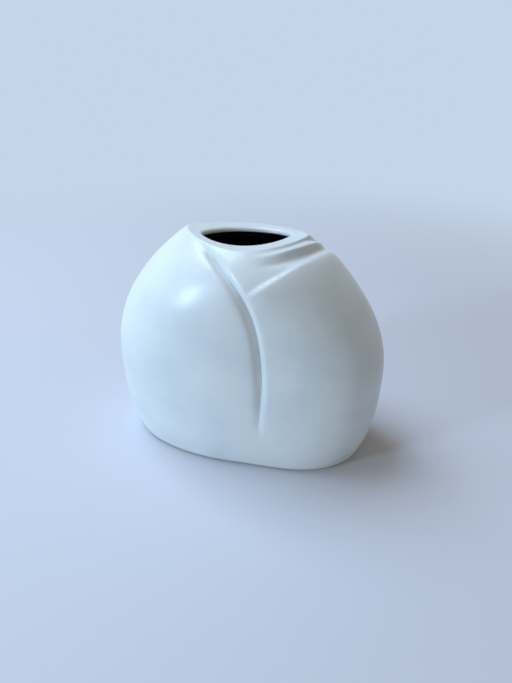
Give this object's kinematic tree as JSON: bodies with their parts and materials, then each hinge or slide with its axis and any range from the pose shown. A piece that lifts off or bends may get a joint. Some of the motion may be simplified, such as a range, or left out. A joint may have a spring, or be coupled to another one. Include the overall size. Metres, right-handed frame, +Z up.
{
  "type": "pillow vase",
  "caption": "Flattened, pillow-shaped ceramic vase with a lens-shaped mouth, a deep crease down each broad face and gathered pleats at the shoulder.",
  "frame": {"origin": "centre of the foot, on the surface that the vase stands on", "axes": "+Z up, +X along the broad face, and the front broad face towards -Y"},
  "size_m": [0.178, 0.0892, 0.1485],
  "materials": {
    "white_glaze": "satin",
    "black_glaze": "gloss"
  },
  "bodies": {
    "root": {"body": "white_glaze", "interior_glaze": "black_glaze"}
  },
  "joints": []
}
